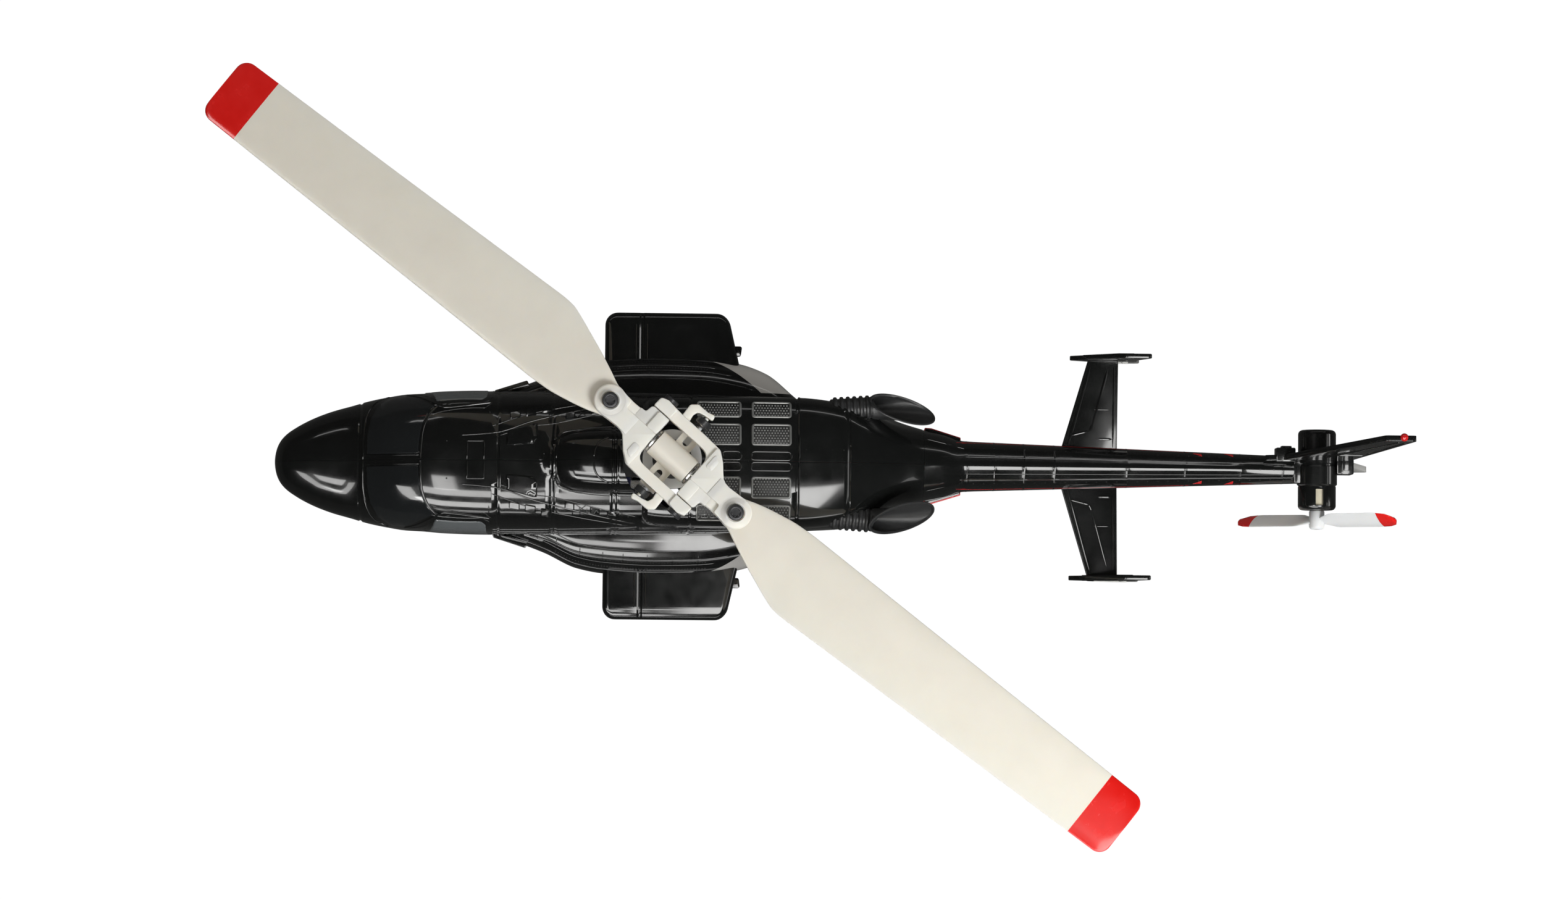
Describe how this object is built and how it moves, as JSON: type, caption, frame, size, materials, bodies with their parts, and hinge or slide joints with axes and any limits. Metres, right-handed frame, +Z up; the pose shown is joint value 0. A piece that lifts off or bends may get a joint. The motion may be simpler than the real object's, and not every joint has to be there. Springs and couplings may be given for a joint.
{
  "type": "remote control helicopter",
  "caption": "Small scale-bodied remote control helicopter with a feathering rotor head, folding main blades, direct-drive tail rotor, sponsons and wheeled gear.",
  "frame": {"origin": "on the main mast axis, at the height of the ground under the wheels", "axes": "+X towards the nose, +Y to the left (port) side, +Z up along the mast"},
  "size_m": [0.2536, 0.1628, 0.0658],
  "materials": {
    "gloss_black": "high gloss",
    "smoked_window": "smoked clear plastic",
    "satin_black": "satin",
    "steel": "turned",
    "black_screw": "black oxide",
    "cream_plastic": "moulded nylon",
    "white_plastic": "moulded nylon",
    "black_plastic": "moulded nylon",
    "bronze": "sintered",
    "red_lens": "clear red",
    "board": "lacquered board",
    "battery_foil": "foil pouch",
    "belly_grey": "gloss",
    "wire": "insulated wire",
    "tyre": "matte rubber"
  },
  "bodies": {
    "airframe": {"fuselage_left_shell": "gloss_black", "fuselage_right_shell": "gloss_black", "windshield_left": "smoked_window", "windshield_right": "smoked_window", "side_window_left": "smoked_window", "side_window_right": "smoked_window", "sponson_left": "gloss_black", "sponson_right": "gloss_black", "exhaust_left": "satin_black", "exhaust_right": "satin_black", "tail_boom": "gloss_black", "stabiliser_left": "gloss_black", "stabiliser_right": "gloss_black", "end_plate_left": "gloss_black", "end_plate_right": "gloss_black", "tail_fin": "gloss_black", "beacon_light": "red_lens", "tail_motor_mount": "satin_black", "tail_motor_cap_left": "satin_black", "tail_motor_cap_right": "satin_black", "tail_motor": "steel", "main_frame": "satin_black", "frame_screws": "black_screw", "main_motor": "steel", "mast_bearings": "steel", "servo_a": "satin_black", "servo_b": "satin_black", "receiver_board": "board", "battery": "battery_foil", "tail_wires": "wire", "nose_gear_strut": "steel", "main_gear_struts": "steel"},
    "rotor": {"mast": "steel", "main_gear": "white_plastic", "mast_collar": "black_screw", "rotor_hub": "cream_plastic", "feathering_spindle": "steel"},
    "pinion": {"pinion": "bronze", "motor_shaft": "steel"},
    "swash_ball": {"swash_ball": "steel"},
    "swash_lower": {"swash_lower_ring": "satin_black"},
    "swash_upper": {"swash_upper_ring": "white_plastic"},
    "feather_frame": {"blade_grip_a": "cream_plastic", "blade_grip_b": "cream_plastic", "grip_screws": "black_screw", "blade_bolts": "black_screw", "spindle_bearings": "bronze"},
    "link_a": {"pitch_link_a": "black_plastic"},
    "link_b": {"pitch_link_b": "black_plastic"},
    "blade_a": {"main_blade_a": "cream_plastic"},
    "blade_b": {"main_blade_b": "cream_plastic"},
    "pushrod_a": {"servo_pushrod_a": "steel"},
    "pushrod_b": {"servo_pushrod_b": "steel"},
    "tail_prop": {"tail_shaft": "steel", "tail_rotor": "white_plastic"},
    "nose_wheel": {"nose_wheel": "tyre"},
    "wheel_left": {"main_wheel_left": "tyre"},
    "wheel_right": {"main_wheel_right": "tyre"},
    "hatch": {"battery_hatch": "belly_grey"},
    "switch": {"power_switch": "satin_black"}
  },
  "joints": [
    {"name": "main_rotor_spin", "type": "hinge", "parent": "airframe", "child": "rotor", "pos_m": [0, 0, 0.0605], "axis": [0, 0, 1], "continuous": true},
    {"name": "pinion_spin", "type": "hinge", "parent": "airframe", "child": "pinion", "pos_m": [-0.0134, 0, 0.022], "axis": [0, 0, 1], "continuous": true},
    {"name": "swash_tilt_a", "type": "hinge", "parent": "airframe", "child": "swash_ball", "pos_m": [0, 0, 0.051], "axis": [0.7513, -0.66, 0], "range_deg": [-4, 4]},
    {"name": "swash_tilt_b", "type": "hinge", "parent": "swash_ball", "child": "swash_lower", "pos_m": [0, 0, 0.051], "axis": [0.66, 0.7513, 0], "range_deg": [-4, 4]},
    {"name": "swash_spin", "type": "hinge", "parent": "swash_lower", "child": "swash_upper", "pos_m": [0, 0, 0.051], "axis": [0, 0, 1], "continuous": true},
    {"name": "blade_feather", "type": "hinge", "parent": "rotor", "child": "feather_frame", "pos_m": [0, 0, 0.0605], "axis": [0.7513, -0.66, 0], "range_deg": [-4, 4]},
    {"name": "link_a_pivot", "type": "hinge", "parent": "feather_frame", "child": "link_a", "pos_m": [0.00634, 0.00721, 0.0605], "axis": [0.7513, -0.66, 0], "range_deg": [-4, 4]},
    {"name": "link_b_pivot", "type": "hinge", "parent": "feather_frame", "child": "link_b", "pos_m": [-0.00634, -0.00721, 0.0605], "axis": [0.7513, -0.66, 0], "range_deg": [-4, 4]},
    {"name": "blade_fold_a", "type": "hinge", "parent": "feather_frame", "child": "blade_a", "pos_m": [0.01315, -0.01155, 0.0605], "axis": [0, 0, 1], "range_deg": [-60, 60]},
    {"name": "blade_fold_b", "type": "hinge", "parent": "feather_frame", "child": "blade_b", "pos_m": [-0.01315, 0.01155, 0.0605], "axis": [0, 0, 1], "range_deg": [-60, 60]},
    {"name": "servo_a_slide", "type": "slide", "parent": "airframe", "child": "pushrod_a", "axis": [0, 0, 1], "range_m": [-0.0004895, 0.0004895]},
    {"name": "servo_b_slide", "type": "slide", "parent": "airframe", "child": "pushrod_b", "axis": [0, 0, 1], "range_m": [-0.0004895, 0.0004895]},
    {"name": "tail_rotor_spin", "type": "hinge", "parent": "airframe", "child": "tail_prop", "pos_m": [-0.1385, 0.0107, 0.0347], "axis": [0, 1, 0], "continuous": true},
    {"name": "nose_wheel_spin", "type": "hinge", "parent": "airframe", "child": "nose_wheel", "pos_m": [0.062, 0, 0.0035], "axis": [0, 1, 0], "continuous": true},
    {"name": "main_wheel_left_spin", "type": "hinge", "parent": "airframe", "child": "wheel_left", "pos_m": [-0.008, 0.0249, 0.004], "axis": [0, 1, 0], "continuous": true},
    {"name": "main_wheel_right_spin", "type": "hinge", "parent": "airframe", "child": "wheel_right", "pos_m": [-0.008, -0.0249, 0.004], "axis": [0, 1, 0], "continuous": true},
    {"name": "battery_hatch_slide", "type": "slide", "parent": "airframe", "child": "hatch", "axis": [-1, 0, 0], "range_m": [0, 0.014]},
    {"name": "power_switch_slide", "type": "slide", "parent": "airframe", "child": "switch", "axis": [1, 0, 0], "range_m": [0, 0.002]}
  ],
  "couplings": [
    {"joint": "pinion_spin", "follows": "main_rotor_spin", "ratio": -8.8889},
    {"joint": "swash_spin", "follows": "main_rotor_spin", "ratio": 1},
    {"joint": "swash_tilt_a", "follows": "servo_a_slide", "rad_per_m": 142.6},
    {"joint": "blade_feather", "follows": "servo_a_slide", "rad_per_m": 142.6},
    {"joint": "link_a_pivot", "follows": "servo_a_slide", "rad_per_m": -142.6},
    {"joint": "link_b_pivot", "follows": "servo_a_slide", "rad_per_m": -142.6},
    {"joint": "swash_tilt_b", "follows": "servo_b_slide", "rad_per_m": -142.6}
  ]
}
